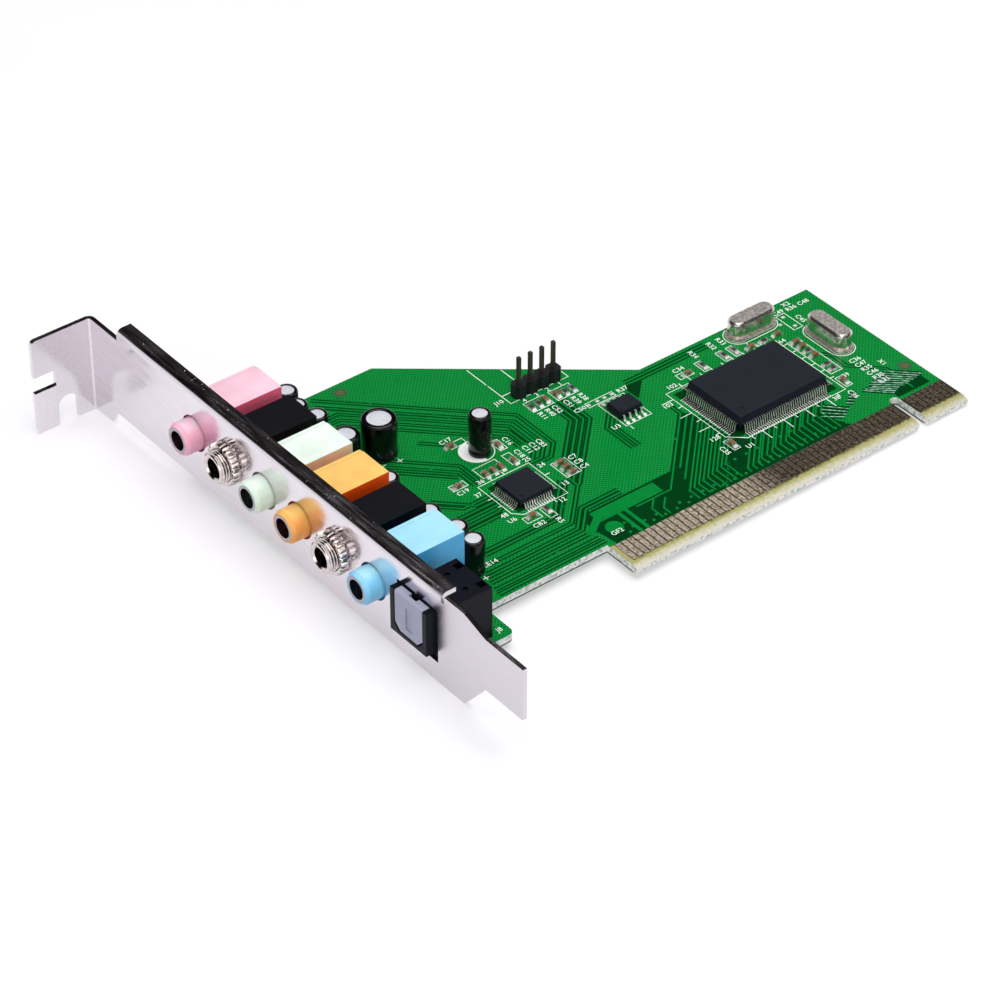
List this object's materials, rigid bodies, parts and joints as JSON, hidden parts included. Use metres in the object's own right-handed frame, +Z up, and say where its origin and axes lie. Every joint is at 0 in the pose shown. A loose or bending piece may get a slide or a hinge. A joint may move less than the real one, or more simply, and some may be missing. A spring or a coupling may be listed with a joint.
{
  "type": "pci sound card",
  "caption": "PCI sound card: a tapering green board with slot contacts, chips and capacitors, on a folded metal bracket with coloured audio jacks and a shuttered optical port.",
  "frame": {"origin": "middle of the card's footprint, level with the lowest edge of the bracket's tab", "axes": "+X from the bracket along the board, +Y from the bracket's tongue to its screw tab, +Z up from the component side"},
  "size_m": [0.1274, 0.12, 0.0216],
  "materials": {
    "board": "green solder mask over glass fibre board",
    "contact_plating": "thin gold plating, dull",
    "bracket_nickel": "bright nickel plate on sheet steel",
    "jack_blue": "moulded",
    "jack_orange": "moulded",
    "jack_green": "moulded",
    "jack_pink": "moulded",
    "jack_black": "moulded",
    "plated_brass": "nickel plated brass",
    "optical_case": "polished black",
    "shutter_plastic": "satin grey",
    "spring_steel": "drawn wire",
    "emitter_resin": "clear dark red resin",
    "jacket_film": "shrunk film",
    "chip_resin": "fine matt",
    "tinned_lead": "tin plate",
    "header_plastic": "satin black",
    "post_plating": "gold plate",
    "crystal_steel": "drawn nickel silver",
    "resistor_ceramic": "glazed black film on ceramic",
    "capacitor_ceramic": "fired ceramic"
  },
  "bodies": {
    "card": {"bracket": "bracket_nickel", "bracket_nut_lower": "plated_brass", "bracket_nut_upper": "plated_brass", "capacitor_1": "jacket_film", "capacitor_10": "jacket_film", "capacitor_2": "jacket_film", "capacitor_3": "jacket_film", "capacitor_4": "jacket_film", "capacitor_5": "jacket_film", "capacitor_6": "jacket_film", "capacitor_7": "jacket_film", "capacitor_8": "jacket_film", "capacitor_9": "jacket_film", "chip_capacitors": "capacitor_ceramic", "chip_ends": "tinned_lead", "chip_resistors": "resistor_ceramic", "codec_case": "chip_resin", "codec_leads": "tinned_lead", "controller_case": "chip_resin", "controller_leads": "tinned_lead", "crystal_base_right": "crystal_steel", "crystal_base_upper": "crystal_steel", "crystal_can_right": "crystal_steel", "crystal_can_upper": "crystal_steel", "edge_contacts": "contact_plating", "header_base": "header_plastic", "header_posts": "post_plating", "jack_body_blue": "jack_blue", "jack_body_green": "jack_green", "jack_body_lower": "jack_black", "jack_body_orange": "jack_orange", "jack_body_pink": "jack_pink", "jack_body_upper": "jack_black", "jack_bushing_lower": "plated_brass", "jack_bushing_upper": "plated_brass", "jack_sleeve_blue": "plated_brass", "jack_sleeve_green": "plated_brass", "jack_sleeve_orange": "plated_brass", "jack_sleeve_pink": "plated_brass", "lead_ends": "tinned_lead", "memory_case": "chip_resin", "memory_leads": "tinned_lead", "optical_emitter": "emitter_resin", "optical_housing": "optical_case", "pcb": "board", "shutter_pin": "spring_steel"},
    "shutter": {"optical_shutter": "shutter_plastic", "shutter_spring": "spring_steel"}
  },
  "joints": [
    {"name": "shutter_hinge", "type": "hinge", "parent": "card", "child": "shutter", "pos_m": [-0.05282, -0.03346, 0.01666], "axis": [0, -1, 0], "range_deg": [0, 65], "stiffness_Nm_per_rad": 0.0002, "springref_deg": -17.19}
  ]
}
